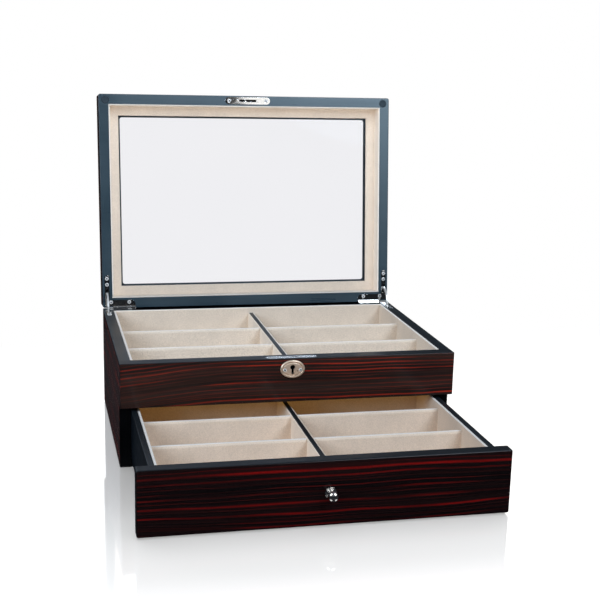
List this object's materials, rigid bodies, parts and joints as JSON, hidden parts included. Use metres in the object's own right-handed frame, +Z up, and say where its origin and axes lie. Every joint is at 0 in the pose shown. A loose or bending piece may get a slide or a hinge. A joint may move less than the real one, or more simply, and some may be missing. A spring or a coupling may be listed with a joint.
{
  "type": "glasses box",
  "caption": "Veneered spectacles box with a glazed lid on quadrant hinges over a divided suede tray, a lock in the front rim and a divided drawer with a ball knob.",
  "frame": {"origin": "on the underside of the base felt, at the centre of the case", "axes": "+X to the right seen from the front, +Y to the back, +Z up; the drawer opens along -Y"},
  "size_m": [0.37, 0.5237, 0.3816],
  "materials": {
    "veneer": "dark striped ebony veneer under clear gloss lacquer",
    "slate_lacquer": "satin slate black lacquer on fibreboard",
    "black_lacquer": "matt black lacquer on fibreboard",
    "suede": "cream suede-look cloth over board",
    "felt": "black felt",
    "nickel": "polished nickel plate",
    "steel": "plated steel",
    "glass": "clear float glass",
    "rubber": "matt dark rubber"
  },
  "bodies": {
    "case": {"base_felt": "felt", "base_panel": "black_lacquer", "left_side_panel": "veneer", "right_side_panel": "veneer", "back_panel": "veneer", "upper_front_panel": "veneer", "tray_floor_panel": "black_lacquer", "drawer_glides": "felt", "tray_floor_lining": "suede", "tray_side_linings": "suede", "tray_end_linings": "suede", "tray_centre_board": "slate_lacquer", "tray_centre_linings": "suede", "tray_row_boards_left": "suede", "tray_row_boards_right": "suede", "lock_case": "steel", "lock_pivot_pin": "steel", "lock_plate": "nickel", "lock_screws": "steel", "keyhole_plate": "nickel", "keyhole_plate_pins": "nickel", "hinge_box_leaf_left": "nickel", "hinge_box_leaf_right": "nickel", "hinge_pins": "steel", "hinge_box_screws": "steel"},
    "lid": {"hinge_lid_leaf_left": "nickel", "hinge_lid_leaf_right": "nickel", "hinge_lid_screws": "steel", "lid_front_rail": "veneer", "lid_back_rail": "veneer", "lid_left_rail": "veneer", "lid_right_rail": "veneer", "lid_top_panel": "veneer", "lid_glass": "glass", "lid_window_mat": "suede", "lid_side_linings": "suede", "lid_end_linings": "suede", "strike_plate": "nickel", "strike_screws": "steel", "lid_bumpers": "rubber"},
    "stay_left": {"stay_left": "nickel"},
    "stay_right": {"stay_right": "nickel"},
    "drawer": {"drawer_front": "veneer", "drawer_left_side": "slate_lacquer", "drawer_right_side": "slate_lacquer", "drawer_back": "slate_lacquer", "drawer_bottom": "black_lacquer", "drawer_floor_lining": "suede", "drawer_side_linings": "suede", "drawer_end_linings": "suede", "drawer_centre_board": "slate_lacquer", "drawer_centre_linings": "suede", "drawer_row_boards_left": "suede", "drawer_row_boards_right": "suede", "drawer_knob": "nickel", "drawer_knob_screw": "steel"},
    "hook": {"lock_hook": "steel"}
  },
  "joints": [
    {"name": "lid_hinge", "type": "hinge", "parent": "case", "child": "lid", "pos_m": [0, 0.1315, 0.1203], "axis": [1, 0, 0], "range_deg": [0, 96.5]},
    {"name": "stay_left_swing", "type": "hinge", "parent": "case", "child": "stay_left", "pos_m": [-0.17935, 0.1315, 0.1203], "axis": [1, 0, 0], "range_deg": [0, 48.25]},
    {"name": "stay_right_swing", "type": "hinge", "parent": "case", "child": "stay_right", "pos_m": [0.17935, 0.1315, 0.1203], "axis": [1, 0, 0], "range_deg": [0, 48.25]},
    {"name": "drawer_slide", "type": "slide", "parent": "case", "child": "drawer", "axis": [0, -1, 0], "range_m": [-0.1797, 0.02]},
    {"name": "hook_turn", "type": "hinge", "parent": "case", "child": "hook", "pos_m": [-0.0075, -0.1255, 0.111], "axis": [0, -1, 0], "range_deg": [0, 48]}
  ],
  "couplings": [
    {"joint": "stay_left_swing", "follows": "lid_hinge", "ratio": 0.5},
    {"joint": "stay_right_swing", "follows": "lid_hinge", "ratio": 0.5}
  ]
}
